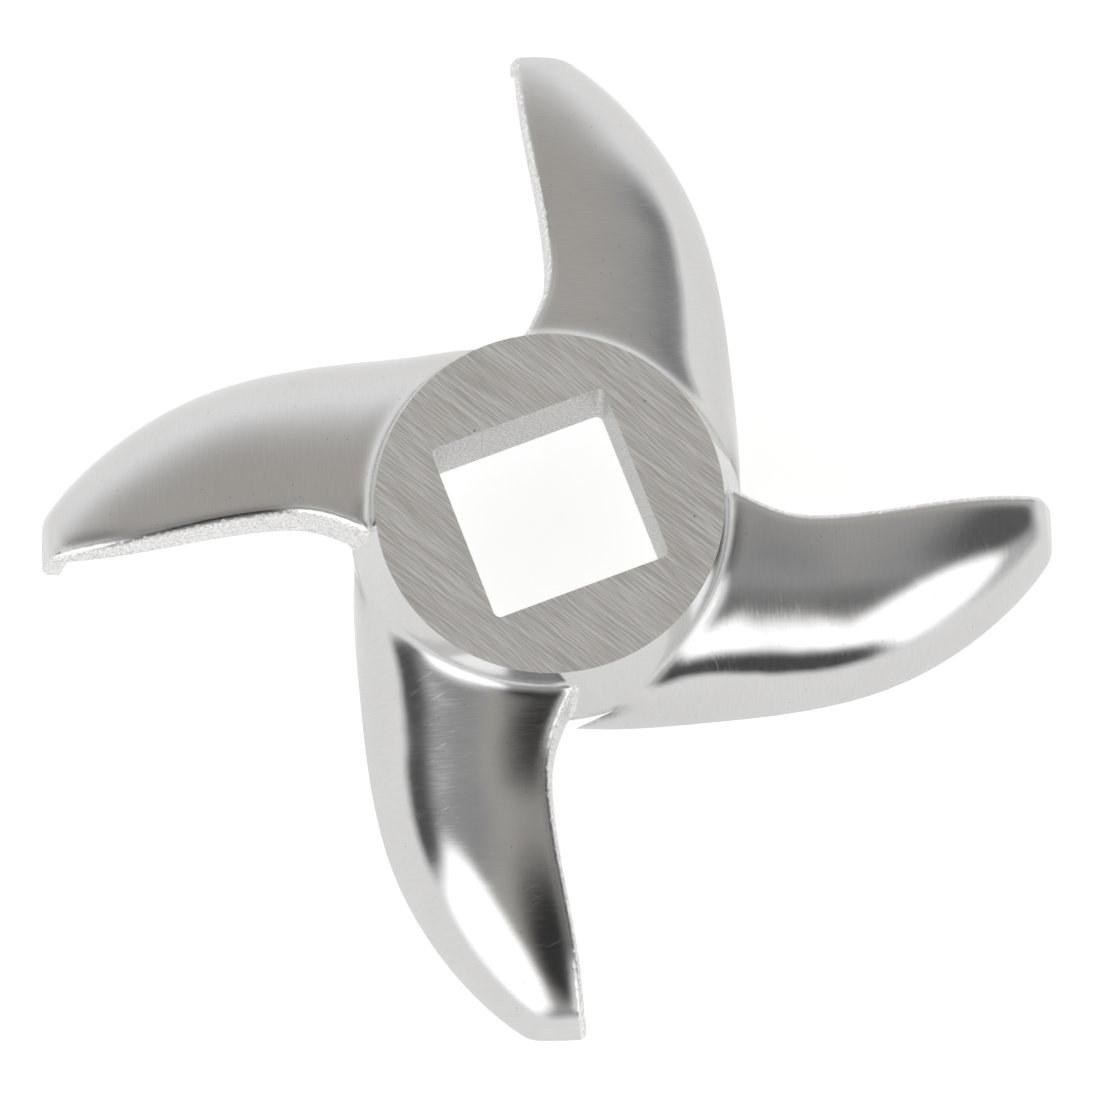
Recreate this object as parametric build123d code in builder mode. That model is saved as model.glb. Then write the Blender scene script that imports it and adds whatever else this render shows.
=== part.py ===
from build123d import *
from math import cos, radians, sin, tan
import os

# Meat grinder knife, cast in one piece, in millimetres.
# The cutting lands lie on Z = 0 and the ground hub face looks up +Z.
# X and Y stand square to the flats of the drive hole.

# --- hub ---
KNIFE_HEIGHT = 11.0  # cutting plane to hub face
HUB_FACE_DIA = 24.5
HUB_DRAFT = 13.3  # degrees, the hub spreads downwards
HUB_FLOOR = 3.4  # height of the relieved hub underside
RELIEF_DIA = 28.0  # the lands stop at this circle
RING_FILLET = 1.0  # cove between the hub and the arms

# --- drive hole ---
DRIVE_SQUARE = 13.0
DRIVE_CORNER = 0.5

# --- arms ---
ARM_COUNT = 4
ARM_LEAD = -21.0  # degrees, first arm from the +Y drive flat
SWEEP_DIA = 72.6
TIP_DRAFT = 14.0  # degrees, the ground end leans inwards
CONCAVE_DRAFT = 3.0  # degrees, the cast side spreads downwards
WALL_REACH = 0.74  # share of the crest height that the convex wall holds its angle
TIP_ROUND = 2.4  # crown into the ground end
BROW_ROUND = 0.55  # crown into the cast side
SECTION_SWEEP = 72.6  # the sections and lands below are drawn for this sweep
# Sections square to the arm:
# reach, concave side, convex edge, crest height, shoulder width, wall angle
ARM_SECTIONS = [
    (0.0, 0.0, 13.85, 5.0, 1.0, 90),
    (5.0, -1.8, 13.9, 7.2, 2.4, 86),
    (9.5, -2.9, 13.6, 9.2, 4.8, 78),
    (13.0, -1.65, 13.25, 8.9, 5.8, 72),
    (16.0, -0.42, 12.9, 8.2, 5.9, 71),
    (20.0, -0.17, 12.2, 7.4, 5.6, 71),
    (25.0, -0.92, 10.65, 6.8, 5.2, 71),
    (30.0, -1.88, 7.8, 5.8, 4.4, 70),
    (34.0, -2.42, 4.25, 4.3, 2.9, 67),
    (36.0, -2.6, 1.65, 3.1, 1.8, 65),
    (37.5, -2.7, -1.4, 2.0, 0.5, 63),
]

# --- cutting lands ---
ARM_FLOOR = 3.85  # relieved underside of an arm at the relief circle
FLOOR_FALL = 2.2  # degrees, the underside falls towards the tip
LAND_ROOT = (10.4, 7.6)
LAND_BEND = [(9.7, 15.5), (8.0, 23.5), (5.8, 28.2), (2.65, 32.4)]
LAND_TIP = (-0.2, 34.4)
LAND_STEP = (-1.7, 34.5)
LAND_END = (-2.8, 35.2)
LAND_STEP_ROUND = 0.5
CLEAR = 6.0  # how far a relief cut runs past the arm

# another sweep draws the arms out beyond the relief circle only
stretch = (SWEEP_DIA - SECTION_SWEEP) / (SECTION_SWEEP - RELIEF_DIA)


def drawn_out(reach):
    return reach + stretch * max(0, reach - RELIEF_DIA / 2)


# --- one arm along +Y ---
with BuildPart() as arm:
    for reach, concave_x, convex_x, crest, shoulder, wall_angle in ARM_SECTIONS:
        foot = (concave_x - crest * tan(radians(CONCAVE_DRAFT)), 0)
        brow = (concave_x, crest)
        edge = (convex_x, 0)
        crest_pull = (convex_x - shoulder, crest)
        wall = WALL_REACH * crest
        wall_pull = (convex_x - wall * cos(radians(wall_angle)), wall * sin(radians(wall_angle)))
        with BuildSketch(Plane(origin=(0, drawn_out(reach), 0), x_dir=(1, 0, 0), z_dir=(0, -1, 0))):
            with BuildLine():
                Line(foot, brow)
                Bezier(brow, crest_pull, wall_pull, edge)
                Line(edge, foot)
            make_face()
    loft()
    # the sweep is ground round
    with BuildSketch():
        Circle(SWEEP_DIA / 2)
    extrude(amount=2 * KNIFE_HEIGHT, taper=TIP_DRAFT, mode=Mode.INTERSECT)
    end_wall = arm.faces().filter_by(GeomType.CONE)[0]
    crown_end = end_wall.edges().filter_by(GeomType.BSPLINE).sort_by(SortBy.LENGTH)[-1]
    fillet(crown_end, TIP_ROUND)
    # the rounding runs from the end's corner along the whole brow
    end_wall = arm.faces().filter_by(GeomType.CONE)[0]
    fillet(end_wall.edges().sort_by(Axis.X)[0], BROW_ROUND)
    # the underside is relieved beside the land
    fall = radians(FLOOR_FALL)
    floor_start = ARM_FLOOR + RELIEF_DIA / 2 * tan(fall)
    land = [LAND_ROOT, *LAND_BEND, LAND_TIP, LAND_STEP, LAND_END]
    root, *bend, tip, step, end = [(x, drawn_out(y)) for x, y in land]
    floor = Plane(origin=(0, 0, floor_start), x_dir=(1, 0, 0), z_dir=(0, sin(fall), cos(fall)))
    with BuildSketch(floor):
        with BuildLine():
            Spline(root, *bend, tip)
            Polyline(tip, step, end, (-CLEAR, end[1]), (-CLEAR, root[1]), root)
        make_face()
        corner = vertices().filter_by(lambda v: abs(v.X - LAND_STEP[0]) < LAND_STEP_ROUND)
        fillet(corner, LAND_STEP_ROUND)
    extrude(amount=-2 * ARM_FLOOR, mode=Mode.SUBTRACT)

# --- knife ---
hub_flare = (KNIFE_HEIGHT - HUB_FLOOR) * tan(radians(HUB_DRAFT))
with BuildPart() as knife:
    with BuildSketch(Plane.XY.offset(HUB_FLOOR)):
        Circle(HUB_FACE_DIA / 2 + hub_flare)
    extrude(amount=KNIFE_HEIGHT - HUB_FLOOR, taper=HUB_DRAFT)
    with PolarLocations(0, ARM_COUNT, start_angle=ARM_LEAD):
        add(arm.part)
    # relieved hub underside, and the ends of the lands
    with BuildSketch():
        Circle(RELIEF_DIA / 2)
    extrude(amount=HUB_FLOOR, mode=Mode.SUBTRACT)
    # cove round the hub, running on down each arm's root
    hub_wall = knife.faces().filter_by(GeomType.CONE).sort_by(Axis.Z)[-1]
    cove = hub_wall.edges().filter_by(GeomType.BSPLINE).sort_by(SortBy.LENGTH)[-ARM_COUNT:]
    fillet(cove, RING_FILLET)
    # drive hole
    with BuildSketch():
        RectangleRounded(DRIVE_SQUARE, DRIVE_SQUARE, DRIVE_CORNER)
    extrude(amount=KNIFE_HEIGHT, mode=Mode.SUBTRACT)

os.makedirs("parts", exist_ok=True)
knife.part.label = "knife"
export_step(knife.part, "parts/knife.step")
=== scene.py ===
"""Meat grinder knife of cast steel: its finishes, the light tent it stands in and the camera."""

import logging
from dataclasses import dataclass, field
from enum import Enum
from math import cos, radians, sin
from typing import Protocol, Sequence

import bpy
from mathutils import Matrix, Vector

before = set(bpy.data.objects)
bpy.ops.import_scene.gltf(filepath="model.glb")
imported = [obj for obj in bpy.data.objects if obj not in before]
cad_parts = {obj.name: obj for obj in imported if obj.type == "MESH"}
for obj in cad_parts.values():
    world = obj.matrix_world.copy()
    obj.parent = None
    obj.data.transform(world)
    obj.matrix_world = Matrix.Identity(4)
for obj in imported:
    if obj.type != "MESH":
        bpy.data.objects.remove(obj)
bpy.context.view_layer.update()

log = logging.getLogger("knife")

Socket = bpy.types.NodeSocket
Value = Socket | float | Sequence[float]
Span = tuple[float, float]

METRES_TO_MM = 1000.0
MM = 0.001

# the sockets of the mix node, which has a set for each kind of value
NUMBER_A, NUMBER_B = 2, 3
VECTOR_A, VECTOR_B, VECTOR_OUT = 4, 5, 1
COLOUR_A, COLOUR_B, COLOUR_OUT = 6, 7, 2

# a noise seldom leaves this span, so a finish goes all the way over it
COMMON: Span = (0.3, 0.7)


def linear(colour: str) -> tuple[float, float, float, float]:
    """Turn an sRGB hex colour to linear light.

    Args:
        colour: six hex digits after a hash.

    Returns:
        Linear red, green, blue and an alpha of 1.
    """
    parts = [int(colour[i : i + 2], 16) / 255 for i in (1, 3, 5)]
    red, green, blue = (p / 12.92 if p <= 0.04045 else ((p + 0.055) / 1.055) ** 2.4 for p in parts)
    return red, green, blue, 1.0


def add(
    tree: bpy.types.NodeTree,
    kind: str,
    *values: Value,
    named: dict[int | str, Value] | None = None,
    output: int | str | None = None,
    **settings: str | float | bool,
) -> Socket | None:
    """Add one node with its settings and links.

    Args:
        tree: the node tree to add to.
        kind: the node's type, without its ShaderNode prefix.
        values: what goes into the first inputs, a socket to link or a plain value.
        named: the same for inputs known by name or number.
        output: the output to hand back, by default the first that is in use.
        settings: the node's own options.

    Returns:
        The output socket, or None where the node has none.
    """
    node = tree.nodes.new("ShaderNode" + kind)
    for option, setting in settings.items():
        setattr(node, option, setting)
    for key, value in [*enumerate(values), *(named or {}).items()]:
        if isinstance(value, Socket):
            tree.links.new(value, node.inputs[key])
        else:
            node.inputs[key].default_value = value
    if output is not None:
        return node.outputs[output]
    return next((socket for socket in node.outputs if socket.enabled), None)


def streaks(
    tree: bpy.types.NodeTree,
    point: Socket,
    size: Sequence[float],
    turn: float = 0.0,
    detail: float = 0.0,
) -> Socket:
    """Make a grain drawn out along one direction.

    Args:
        tree: the material's node tree.
        point: where the surface is, in millimetres.
        size: the grain's length, its spacing and its depth in millimetres.
        turn: which way the grain runs, in degrees about Z.
        detail: how many finer grains lie on the first.

    Returns:
        A value about 0.5 that swings between 0 and 1.
    """
    if turn:
        point = add(
            tree, "VectorRotate", point, named={"Angle": -radians(turn)}, rotation_type="Z_AXIS"
        )
    grain = add(tree, "VectorMath", point, tuple(size), operation="DIVIDE")
    return add(tree, "TexNoise", grain, named={"Scale": 1.0, "Detail": detail})


def specks(tree: bpy.types.NodeTree, point: Socket, spacing: float, radius: float) -> Socket:
    """Scatter small round specks.

    Args:
        tree: the material's node tree.
        point: where the surface is, in millimetres.
        spacing: mean spacing of the specks through the metal, in millimetres.
        radius: radius of the largest speck, in millimetres.

    Returns:
        A mask, 1 inside a speck.
    """
    cells = add(tree, "VectorMath", point, (spacing,) * 3, operation="DIVIDE")
    distance = add(tree, "TexVoronoi", cells, named={"Scale": 1.0}, output="Distance")
    edge = radius / spacing
    core = 0.4 * edge
    return add(tree, "MapRange", distance, edge, core, interpolation_type="SMOOTHSTEP")


class Zone(Enum):
    """The surfaces of the knife that aren't polished, by how they were made."""

    GROUND = "hub face and cutting lands"
    DRIVE_HOLE = "drive hole"
    CAST_SIDE = "cast sides and relieved underside"


@dataclass(frozen=True)
class Place:
    """Where a point of the knife's surface lies, as sockets, in millimetres.

    The arm sockets hold the same point and normal turned into the first arm's own frame, in which
    the arm runs along +Y and its convex edge faces +X. So the finishes follow every arm alike.
    """

    point: Socket
    normal: Socket
    arm_normal: Socket
    arm_grain: Socket
    along_arm: Socket


@dataclass(frozen=True)
class Coat:
    """What a finish gives the shader: colour, roughness and a height in millimetres."""

    colour: Socket
    roughness: Socket
    height: Socket


class Finish(Protocol):
    """A finish that can be laid on a zone of the steel."""

    def lay(self, tree: bpy.types.NodeTree, place: Place) -> Coat:
        """Build the finish's nodes.

        Args:
            tree: the material's node tree.
            place: where the surface lies.

        Returns:
            The finish's coat.
        """


@dataclass(frozen=True)
class BuffedSteel:
    """Stainless steel, cast and then polished on a belt and a buffing wheel.

    It gives a bright mirror that is softened a little: the belt left fine lines across each arm,
    the hand at the wheel left shallow waves, and the casting's pores show as specks.
    """

    bright: str = "#DADADA"
    dull: str = "#D7D6D6"
    pore: str = "#A3A19F"
    tone: Span = (0.7, 1.3)
    roughness: float = 0.10
    belt_line: tuple[float, float, float] = (1.1, 0.11, 1.1)
    belt_swing: Span = (0.35, 0.75)
    belt_roughness: float = 0.03
    belt_depth: float = 0.0003
    scratch_line: tuple[float, float, float] = (1.6, 0.09, 1.6)
    scratch_turn: float = 24.0
    scratch_swing: Span = (0.75, 0.82)  # only the noise's rare peaks count as stray scratches
    scratch_roughness: float = 0.12
    wave: float = 5.0
    wave_depth: float = 0.012
    pore_spacing: float = 1.0
    pore_radius: float = 0.07

    def lay(self, tree: bpy.types.NodeTree, place: Place) -> Coat:
        """Build the nodes of the polish.

        Args:
            tree: the material's node tree.
            place: where the surface lies.

        Returns:
            The polished coat.
        """
        belt = streaks(tree, place.arm_grain, self.belt_line)
        cloud = streaks(tree, place.arm_grain, (self.wave,) * 3, detail=1.0)
        pores = specks(tree, place.arm_grain, self.pore_spacing, self.pore_radius)
        stray = streaks(tree, place.arm_grain, self.scratch_line, self.scratch_turn)
        scratched = add(
            tree, "MapRange", stray, *self.scratch_swing, interpolation_type="SMOOTHSTEP"
        )

        both = add(tree, "Math", belt, cloud, operation="ADD")
        level = add(tree, "MapRange", both, *self.tone)
        steel = add(
            tree,
            "Mix",
            level,
            named={COLOUR_A: linear(self.dull), COLOUR_B: linear(self.bright)},
            output=COLOUR_OUT,
            data_type="RGBA",
        )
        colour = add(
            tree,
            "Mix",
            pores,
            named={COLOUR_A: steel, COLOUR_B: linear(self.pore)},
            output=COLOUR_OUT,
            data_type="RGBA",
        )

        rougher = self.roughness + self.belt_roughness
        rough = add(tree, "MapRange", belt, *self.belt_swing, self.roughness, rougher)
        rough = add(
            tree, "Math", scratched, self.scratch_roughness, rough, operation="MULTIPLY_ADD"
        )

        lines = add(tree, "Math", belt, self.belt_depth, operation="MULTIPLY")
        waves = add(tree, "Math", cloud, self.wave_depth, lines, operation="MULTIPLY_ADD")
        cut = add(tree, "Math", scratched, -self.belt_depth, waves, operation="MULTIPLY_ADD")
        return Coat(colour, rough, cut)


@dataclass(frozen=True)
class GroundSteel:
    """Stainless steel, ground flat on a coarse belt.

    It gives an even grey with long straight lines that all lie within a few degrees, and no mirror.
    """

    turn: float
    bright: str = "#FFFFFF"
    dull: str = "#D8D7D6"
    mark: str = "#A5A3A0"
    tone: Span = (0.75, 1.3)
    roughness: float = 0.34
    smoother: float = 0.06
    rougher: float = 0.08
    line: tuple[float, float, float] = (6.0, 0.11, 6.0)
    second_line: tuple[float, float, float] = (2.6, 0.07, 2.6)
    second_turn: float = -9.0
    depth: float = 0.0015
    mark_spacing: float = 2.2
    mark_radius: float = 0.12

    def lay(self, tree: bpy.types.NodeTree, place: Place) -> Coat:
        """Build the nodes of the ground face.

        Args:
            tree: the material's node tree.
            place: where the surface lies.

        Returns:
            The ground coat.
        """
        first = streaks(tree, place.point, self.line, self.turn)
        second = streaks(tree, place.point, self.second_line, self.turn + self.second_turn)
        both = add(tree, "Math", first, second, operation="ADD")
        level = add(tree, "MapRange", both, *self.tone)
        steel = add(
            tree,
            "Mix",
            level,
            named={COLOUR_A: linear(self.dull), COLOUR_B: linear(self.bright)},
            output=COLOUR_OUT,
            data_type="RGBA",
        )
        marks = specks(tree, place.point, self.mark_spacing, self.mark_radius)
        colour = add(
            tree,
            "Mix",
            marks,
            named={COLOUR_A: steel, COLOUR_B: linear(self.mark)},
            output=COLOUR_OUT,
            data_type="RGBA",
        )
        least, most = self.roughness - self.smoother, self.roughness + self.rougher
        rough = add(tree, "MapRange", second, *COMMON, least, most)
        height = add(tree, "Math", both, self.depth, operation="MULTIPLY")
        return Coat(colour, rough, height)


@dataclass(frozen=True)
class BroachedSteel:
    """Stainless steel, broached square and lightly blasted.

    It gives a pale matt wall with a fine even grain.
    """

    bright: str = "#EAEAE9"
    dull: str = "#D0CFCE"
    tone: Span = (0.35, 0.65)
    roughness: float = 0.5
    unevenness: float = 0.08
    grain: float = 0.18
    depth: float = 0.004

    def lay(self, tree: bpy.types.NodeTree, place: Place) -> Coat:
        """Build the nodes of the drive hole's walls.

        Args:
            tree: the material's node tree.
            place: where the surface lies.

        Returns:
            The broached coat.
        """
        grain = streaks(tree, place.point, (self.grain,) * 3)
        level = add(tree, "MapRange", grain, *self.tone)
        colour = add(
            tree,
            "Mix",
            level,
            named={COLOUR_A: linear(self.dull), COLOUR_B: linear(self.bright)},
            output=COLOUR_OUT,
            data_type="RGBA",
        )
        most, least = self.roughness + self.unevenness, self.roughness - self.unevenness
        rough = add(tree, "MapRange", grain, *COMMON, most, least)
        height = add(tree, "Math", grain, self.depth, operation="MULTIPLY")
        return Coat(colour, rough, height)


@dataclass(frozen=True)
class CastSkin:
    """Stainless steel as it came from the investment mould, shot blasted.

    It gives a pale sparkling skin: the mould's grain breaks the light up into fine points.
    """

    bright: str = "#FBFBFA"
    dull: str = "#DDDCDB"
    pit: str = "#A3A19F"
    tone: Span = (0.32, 0.6)
    roughness: float = 0.4
    smoother: float = 0.1
    rougher: float = 0.12
    grain: float = 0.17
    depth: float = 0.005
    pit_spacing: float = 0.8
    pit_radius: float = 0.1

    def lay(self, tree: bpy.types.NodeTree, place: Place) -> Coat:
        """Build the nodes of the cast skin.

        Args:
            tree: the material's node tree.
            place: where the surface lies.

        Returns:
            The cast coat.
        """
        grain = streaks(tree, place.arm_grain, (self.grain,) * 3)
        pits = specks(tree, place.arm_grain, self.pit_spacing, self.pit_radius)
        level = add(tree, "MapRange", grain, *self.tone)
        skin = add(
            tree,
            "Mix",
            level,
            named={COLOUR_A: linear(self.dull), COLOUR_B: linear(self.bright)},
            output=COLOUR_OUT,
            data_type="RGBA",
        )
        colour = add(
            tree,
            "Mix",
            pits,
            named={COLOUR_A: skin, COLOUR_B: linear(self.pit)},
            output=COLOUR_OUT,
            data_type="RGBA",
        )
        most, least = self.roughness + self.rougher, self.roughness - self.smoother
        rough = add(tree, "MapRange", grain, *COMMON, most, least)
        height = add(tree, "Math", grain, self.depth, operation="MULTIPLY")
        return Coat(colour, rough, height)


@dataclass(frozen=True)
class BuffedCreases:
    """The rounding that the buffing wheel leaves on the arms' creases, which the CAD keeps sharp.

    It lets a reflection run softly over a crease. The rims of the hub and the cutting edges stay
    crisp.
    """

    crease: float = 1.2
    brow: float = 0.3
    hub_radius: float = 12.25
    turned: Span = (-0.25, 0.05)  # from the brow's side to the crease's, by the normal's lean
    room_share: float = 0.8  # of the way to the nearest crisp edge
    samples: int = 4

    def round_off(self, tree: bpy.types.NodeTree, place: Place) -> Socket:
        """Build the rounded normal.

        Args:
            tree: the material's node tree.
            place: where the surface lies.

        Returns:
            The normal, rounded near the creases.
        """
        sideways = add(tree, "SeparateXYZ", place.arm_normal, output="X")
        wide = add(tree, "MapRange", sideways, *self.turned, self.brow, self.crease)
        level = add(tree, "SeparateXYZ", place.point, output="Z")
        around = add(tree, "VectorMath", place.point, (1, 1, 0), operation="MULTIPLY")
        reach = add(tree, "VectorMath", around, operation="LENGTH")
        off_hub = add(tree, "Math", reach, self.hub_radius, operation="SUBTRACT")
        room = add(tree, "Math", level, off_hub, operation="MINIMUM")
        room = add(tree, "Math", room, self.room_share, operation="MULTIPLY")
        radius = add(tree, "Math", wide, room, operation="MINIMUM")
        radius = add(tree, "Math", radius, 0.0, operation="MAXIMUM")
        radius = add(tree, "Math", radius, MM, operation="MULTIPLY")
        return add(tree, "Bevel", radius, samples=self.samples)


@dataclass(frozen=True)
class Knife:
    """The knife, one casting of stainless steel with four arms round a square-holed hub."""

    node: str = "knife"
    slot: str = "polished_steel"
    height: float = 11.0
    face_depth: Span = (0.1, 0.04)  # below the top, where the hub face's finish begins and is full
    face_up: Span = (0.8, 0.9)
    hole_width: float = 13.0
    hole_margin: float = 0.05
    hole_steep: float = 0.5
    land_height: float = 0.02
    arm_count: int = 4
    arm_lead: float = -21.0
    arm_start: float = 11.7  # bearing at which an arm's convex edge leaves the hub
    arm_shift: float = 40.0  # each arm reads another part of the patterns, so no two are alike
    brow_up: Span = (0.8, 0.7)
    brow_wander: float = 0.6  # how unevenly the polish stops at the cast side
    brow_grain: float = 0.4
    concave_turn: Span = (-0.3, -0.4)
    under_up: float = -0.5
    grind_turn: float = -57.0
    anisotropy: float = 0.55
    polish: Finish = field(default_factory=BuffedSteel)
    creases: BuffedCreases = field(default_factory=BuffedCreases)

    def find_place(self, tree: bpy.types.NodeTree) -> Place:
        """Build the nodes that say where a point lies.

        Args:
            tree: the material's node tree.

        Returns:
            The point and normal, in the knife's frame and in its arm's.
        """
        point = add(tree, "TexCoord", output="Object")
        point = add(tree, "VectorMath", point, named={"Scale": METRES_TO_MM}, operation="SCALE")
        normal = add(tree, "TexCoord", output="Normal")
        across = add(tree, "SeparateXYZ", point, output="X")
        along = add(tree, "SeparateXYZ", point, output="Y")
        bearing = add(tree, "Math", along, across, operation="ARCTAN2")
        start, pitch = radians(self.arm_lead + self.arm_start), radians(360 / self.arm_count)
        from_start = add(tree, "Math", bearing, start, operation="SUBTRACT")
        arms_round = add(tree, "Math", from_start, pitch, operation="DIVIDE")
        arm = add(tree, "Math", arms_round, operation="FLOOR")
        lead = -radians(self.arm_lead)
        back = add(tree, "Math", arm, -pitch, lead, operation="MULTIPLY_ADD")
        arm_point = add(tree, "VectorRotate", point, named={"Angle": back}, rotation_type="Z_AXIS")
        arm_normal = add(
            tree, "VectorRotate", normal, named={"Angle": back}, rotation_type="Z_AXIS"
        )
        number = add(tree, "Math", arm, float(self.arm_count), operation="FLOORED_MODULO")
        shift = add(tree, "Math", number, self.arm_shift, operation="MULTIPLY")
        shift = add(tree, "CombineXYZ", named={"Z": shift})
        arm_grain = add(tree, "VectorMath", arm_point, shift, operation="ADD")
        onward = add(tree, "Math", back, -1.0, operation="MULTIPLY")
        along_arm = add(
            tree, "VectorRotate", (0, 1, 0), named={"Angle": onward}, rotation_type="Z_AXIS"
        )
        return Place(point, normal, arm_normal, arm_grain, along_arm)

    def find_zones(self, tree: bpy.types.NodeTree, place: Place) -> dict[Zone, Socket]:
        """Build a mask for each zone.

        Args:
            tree: the material's node tree.
            place: where the surface lies.

        Returns:
            A mask for each zone, 1 inside it, in the order in which the finishes are laid.
        """
        level = add(tree, "SeparateXYZ", place.point, output="Z")
        up = add(tree, "SeparateXYZ", place.normal, output="Z")
        sideways = add(tree, "SeparateXYZ", place.arm_normal, output="X")

        begins, full = (self.height - depth for depth in self.face_depth)
        high = add(tree, "MapRange", level, begins, full)
        flat = add(tree, "MapRange", up, *self.face_up)
        hub_face = add(tree, "Math", high, flat, operation="MULTIPLY")
        land = add(tree, "Math", level, self.land_height, operation="LESS_THAN")
        ground = add(tree, "Math", hub_face, land, operation="MAXIMUM")

        spread = add(tree, "VectorMath", place.point, operation="ABSOLUTE")
        spread_x = add(tree, "SeparateXYZ", spread, output="X")
        spread_y = add(tree, "SeparateXYZ", spread, output="Y")
        reach = add(tree, "Math", spread_x, spread_y, operation="MAXIMUM")
        edge = self.hole_width / 2 + self.hole_margin
        inside = add(tree, "Math", reach, edge, operation="LESS_THAN")
        steep = add(tree, "Math", up, self.hole_steep, operation="LESS_THAN")
        drive_hole = add(tree, "Math", inside, steep, operation="MULTIPLY")

        wander = streaks(tree, place.arm_grain, (self.brow_grain,) * 3)
        wander = add(tree, "Math", wander, 0.5, operation="SUBTRACT")
        brow = add(tree, "Math", wander, self.brow_wander, up, operation="MULTIPLY_ADD")
        below_brow = add(tree, "MapRange", brow, *self.brow_up)
        concave = add(tree, "MapRange", sideways, *self.concave_turn)
        cast_side = add(tree, "Math", below_brow, concave, operation="MULTIPLY")
        under = add(tree, "Math", up, self.under_up, operation="LESS_THAN")
        cast = add(tree, "Math", cast_side, under, operation="MAXIMUM")
        return {Zone.CAST_SIDE: cast, Zone.DRIVE_HOLE: drive_hole, Zone.GROUND: ground}

    def dress(self) -> None:
        """Give the knife its steel, with a finish for each zone."""
        finishes: dict[Zone, Finish] = {
            Zone.CAST_SIDE: CastSkin(),
            Zone.DRIVE_HOLE: BroachedSteel(),
            Zone.GROUND: GroundSteel(turn=self.grind_turn),
        }
        steel = bpy.data.materials.new("stainless_steel")
        steel.use_nodes = True
        tree = steel.node_tree
        tree.nodes.clear()
        place = self.find_place(tree)
        coat = self.polish.lay(tree, place)
        zones = self.find_zones(tree, place)
        for zone, mask in zones.items():
            over = finishes[zone].lay(tree, place)
            coat = Coat(
                add(
                    tree,
                    "Mix",
                    mask,
                    named={COLOUR_A: coat.colour, COLOUR_B: over.colour},
                    output=COLOUR_OUT,
                    data_type="RGBA",
                ),
                add(tree, "Mix", mask, named={NUMBER_A: coat.roughness, NUMBER_B: over.roughness}),
                add(tree, "Mix", mask, named={NUMBER_A: coat.height, NUMBER_B: over.height}),
            )
            log.info("zone: %s", zone.value)
        rounded = self.creases.round_off(tree, place)
        relief = add(
            tree,
            "Bump",
            named={"Strength": 1.0, "Distance": MM, "Height": coat.height, "Normal": rounded},
        )
        # the reflections are drawn out square to the lines left by belt and grindstone
        across_grind = radians(self.grind_turn + 90)
        square_to_grind = (cos(across_grind), sin(across_grind), 0)
        drawn = add(
            tree,
            "Mix",
            zones[Zone.GROUND],
            named={VECTOR_A: place.along_arm, VECTOR_B: square_to_grind},
            output=VECTOR_OUT,
            data_type="VECTOR",
        )
        surface = add(
            tree,
            "BsdfPrincipled",
            named={
                "Base Color": coat.colour,
                "Metallic": 1.0,
                "Roughness": coat.roughness,
                "Normal": relief,
                "Anisotropic": self.anisotropy,
                "Tangent": drawn,
            },
        )
        add(tree, "OutputMaterial", surface)
        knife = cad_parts[self.node]
        knife.data.materials.clear()
        knife.data.materials.append(steel)
        log.info("piece: %s, %s", self.node, self.slot)


@dataclass(frozen=True)
class Card:
    """A lamp or a dark card in the tent, as an ellipse on the sky with a soft rim.

    The angles are in degrees, the slope from the zenith down. The tilt leans the card's height
    away from the line that runs down from the zenith.
    """

    name: str
    bearing: float
    slope: float
    half_width: float
    half_height: float
    rim: float
    level: float
    tilt: float = 0.0

    def cover(self, tree: bpy.types.NodeTree, sky: Socket, under: Socket) -> Socket:
        """Lay the card over the sky.

        Args:
            tree: the world's node tree.
            sky: the direction looked in.
            under: the colour of the sky so far.

        Returns:
            The sky with the card on it.
        """
        turn, slope, tilt = radians(self.bearing), radians(self.slope), radians(self.tilt)
        middle = Vector((sin(slope) * cos(turn), sin(slope) * sin(turn), cos(slope)))
        round_axis = Vector((-sin(turn), cos(turn), 0))
        down_axis = Vector((cos(slope) * cos(turn), cos(slope) * sin(turn), -sin(slope)))
        wide = cos(tilt) * round_axis - sin(tilt) * down_axis
        tall = cos(tilt) * down_axis + sin(tilt) * round_axis
        wide /= sin(radians(self.half_width))
        tall /= sin(radians(self.half_height))
        aside = add(tree, "VectorMath", sky, tuple(wide), operation="DOT_PRODUCT")
        above = add(tree, "VectorMath", sky, tuple(tall), operation="DOT_PRODUCT")
        offset = add(tree, "CombineXYZ", aside, above)
        reach = add(tree, "VectorMath", offset, operation="LENGTH")
        outer, inner = 1 + self.rim, 1 - self.rim
        inside = add(tree, "MapRange", reach, outer, inner, interpolation_type="SMOOTHSTEP")
        ahead = add(tree, "VectorMath", sky, tuple(middle), operation="DOT_PRODUCT")
        near = add(tree, "Math", ahead, 0.0, operation="GREATER_THAN")
        mask = add(tree, "Math", inside, near, operation="MULTIPLY")
        return add(
            tree,
            "Mix",
            mask,
            named={COLOUR_A: under, COLOUR_B: (self.level,) * 3 + (1.0,)},
            output=COLOUR_OUT,
            data_type="RGBA",
        )


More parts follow.
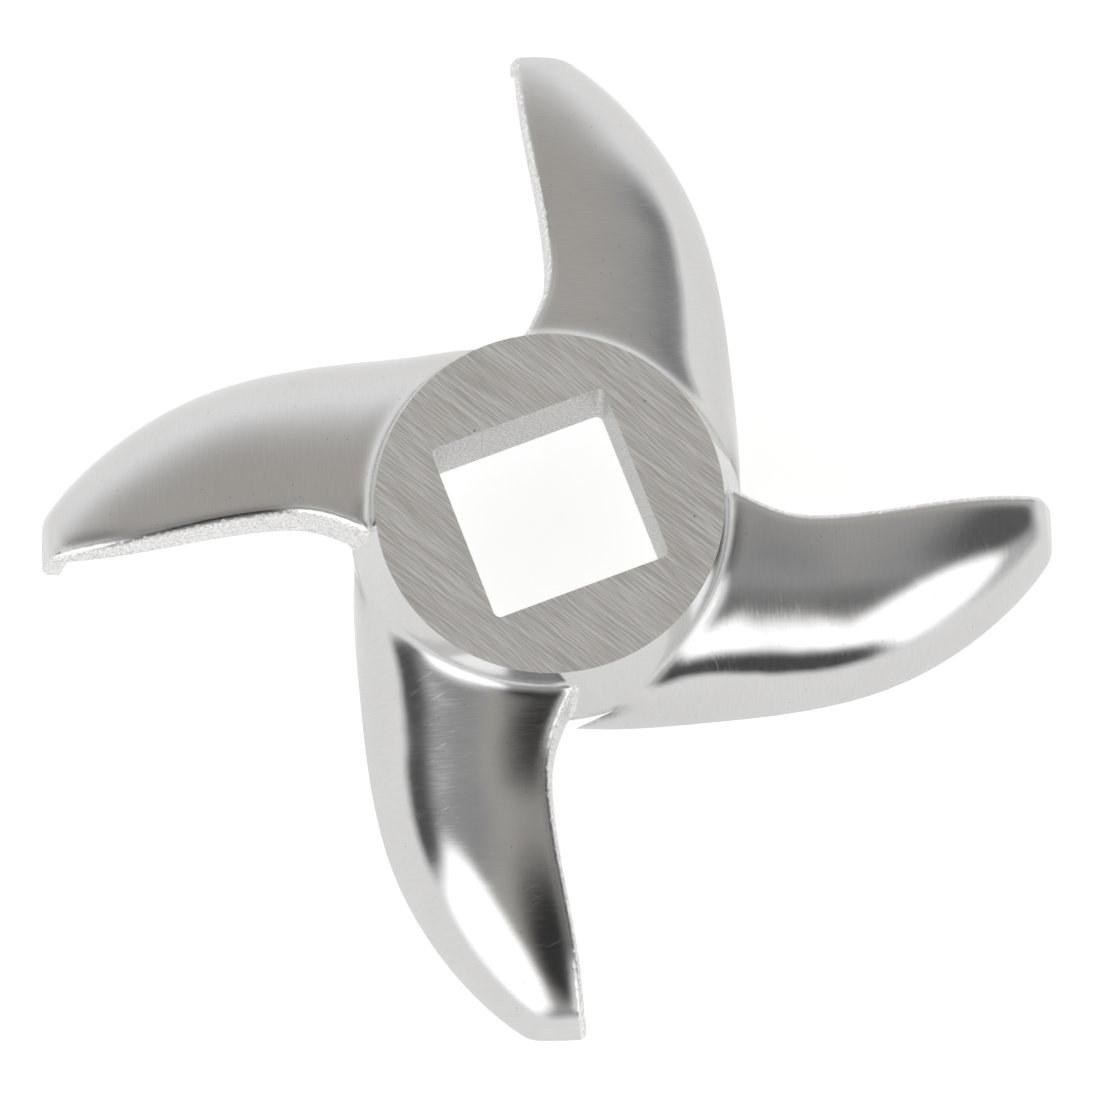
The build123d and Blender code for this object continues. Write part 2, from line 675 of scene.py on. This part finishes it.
@dataclass(frozen=True)
class LightTent:
    """A white light tent with an open grey top, two soft lamps and a few dark cards."""

    top: str = "#B8B5B0"
    wall: str = "#FAFAFB"
    level: float = 1.0
    top_edge: float = 38.0
    wall_edge: float = 88.0
    cards: tuple[Card, ...] = (
        Card("front of the tent", -116, 70, 18, 24, 0.5, 0.4),
        Card("right of the tent", -41, 82, 18, 15, 0.6, 0.55),
        Card("left of the tent", 165, 48, 13, 26, 0.4, 0.35),
        Card("shaded top", -36, 30, 24, 15, 0.8, 0.36),
        Card("camera hood", -123, 28, 15, 22, 0.4, 0.04),
        Card("hood's wing", -84, 34, 16, 10, 0.7, 0.2),
        Card("right lamp", -66, 64, 19, 26, 0.12, 1.7, tilt=-45),
        Card("left lamp", -163, 66, 24, 26, 0.12, 1.7),
        Card("right flag", -22, 53, 16, 22, 0.35, 0.13),
        Card("left flag", 166, 80, 10, 14, 0.5, 0.1),
        Card("front flag", -92, 83, 12, 13, 0.4, 0.08),
        Card("back rail", 15, 76, 8, 24, 0.9, 0.26, tilt=-26.5),
        Card("left rail", 136, 45, 4, 20, 0.8, 0.2),
    )

    def light(self) -> None:
        """Build the tent as the world's light."""
        world = bpy.data.worlds.new("light_tent")
        world.use_nodes = True
        tree = world.node_tree
        tree.nodes.clear()
        sky = add(tree, "TexCoord", output="Generated")
        rise = add(tree, "SeparateXYZ", sky, output="Z")
        edges = [cos(radians(edge)) for edge in (self.top_edge, self.wall_edge)]
        down = add(tree, "MapRange", rise, *edges, interpolation_type="SMOOTHSTEP")
        colour = add(
            tree,
            "Mix",
            down,
            named={COLOUR_A: linear(self.top), COLOUR_B: linear(self.wall)},
            output=COLOUR_OUT,
            data_type="RGBA",
        )
        for card in self.cards:
            colour = card.cover(tree, sky, colour)
        # looked at straight, the tent is plain white
        looked_at = add(tree, "LightPath", output="Is Camera Ray")
        shown = add(
            tree,
            "Mix",
            looked_at,
            named={COLOUR_A: colour, COLOUR_B: linear(self.wall)},
            output=COLOUR_OUT,
            data_type="RGBA",
        )
        glow = add(tree, "Background", shown, self.level)
        add(tree, "OutputWorld", glow)
        # no lamp of the tent is small, so the rays that leave the steel find them all unguided
        world.cycles.sampling_method = "NONE"
        bpy.context.scene.world = world
        log.info("light: tent with %d cards", len(self.cards))


@dataclass(frozen=True)
class Floor:
    """A plain white sheet under the knife."""

    size: float = 0.6
    drop: float = 0.0003
    paper: str = "#BCBCBC"
    glow: float = 0.8
    mirrored_glow: float = 0.68

    def lay(self) -> None:
        """Lay the sheet, and let the camera and the steel see it white."""
        half = self.size / 2
        mesh = bpy.data.meshes.new("floor")
        signs = ((-1, -1), (1, -1), (1, 1), (-1, 1))
        corners = [(half * x, half * y, -self.drop) for x, y in signs]
        mesh.from_pydata(corners, [], [(0, 1, 2, 3)])
        floor = bpy.data.objects.new("floor", mesh)
        bpy.context.scene.collection.objects.link(floor)
        paper = bpy.data.materials.new("white_sheet")
        paper.use_nodes = True
        tree = paper.node_tree
        tree.nodes.clear()
        matt = add(tree, "BsdfDiffuse", linear(self.paper))
        looked_at = add(tree, "LightPath", output="Is Camera Ray")
        mirrored = add(tree, "LightPath", output="Is Glossy Ray")
        shown = add(tree, "Math", looked_at, self.glow, operation="MULTIPLY")
        strength = add(
            tree, "Math", mirrored, self.mirrored_glow, shown, operation="MULTIPLY_ADD"
        )
        white = add(tree, "Emission", named={"Strength": strength})
        both = add(tree, "AddShader", matt, white)
        add(tree, "OutputMaterial", both)
        mesh.materials.append(paper)
        log.info("stage: floor")


@dataclass(frozen=True)
class Viewpoint:
    """The camera, with a long lens, looking down on the hub face a little from the front."""

    frame_px: float = 1100.0
    lens_px: float = 5616.7
    axis_px: tuple[float, float] = (547.446, 539.998)  # where the drive axis meets the lands
    distance: float = 0.4037
    lean: float = 13.81
    swing: float = -3.68
    turn: float = -21.0
    sensor: float = 36.0
    nearest: float = 0.01
    farthest: float = 5.0

    def place(self) -> None:
        """Build the camera and make it the scene's."""
        lean, swing = radians(self.lean), radians(self.swing)
        back = Vector((sin(lean) * sin(swing), -sin(lean) * cos(swing), cos(lean)))
        north = Vector((0, 1, 0))
        up = (north - back * north.dot(back)).normalized()
        right = up.cross(back)
        middle = self.frame_px / 2
        aside = (self.axis_px[0] - middle) / self.lens_px * self.distance
        above = (middle - self.axis_px[1]) / self.lens_px * self.distance
        turn = Matrix.Rotation(radians(self.turn), 3, "Z")
        data = bpy.data.cameras.new("camera")
        data.sensor_width = self.sensor
        data.lens = self.lens_px / self.frame_px * self.sensor
        data.clip_start = self.nearest
        data.clip_end = self.farthest
        camera = bpy.data.objects.new("camera", data)
        bpy.context.scene.collection.objects.link(camera)
        camera.matrix_world = (turn @ Matrix((right, up, back)).transposed()).to_4x4()
        camera.location = turn @ (self.distance * back - aside * right - above * up)
        bpy.context.scene.camera = camera
        log.info("camera: %.1f mm lens", data.lens)


def main() -> None:
    """Dress the knife, light it, lay the floor and place the camera."""
    logging.basicConfig(level=logging.INFO, format="%(message)s")
    bpy.context.scene.view_settings.view_transform = "Standard"
    Knife().dress()
    LightTent().light()
    Floor().lay()
    Viewpoint().place()


if __name__ == "__main__":
    main()
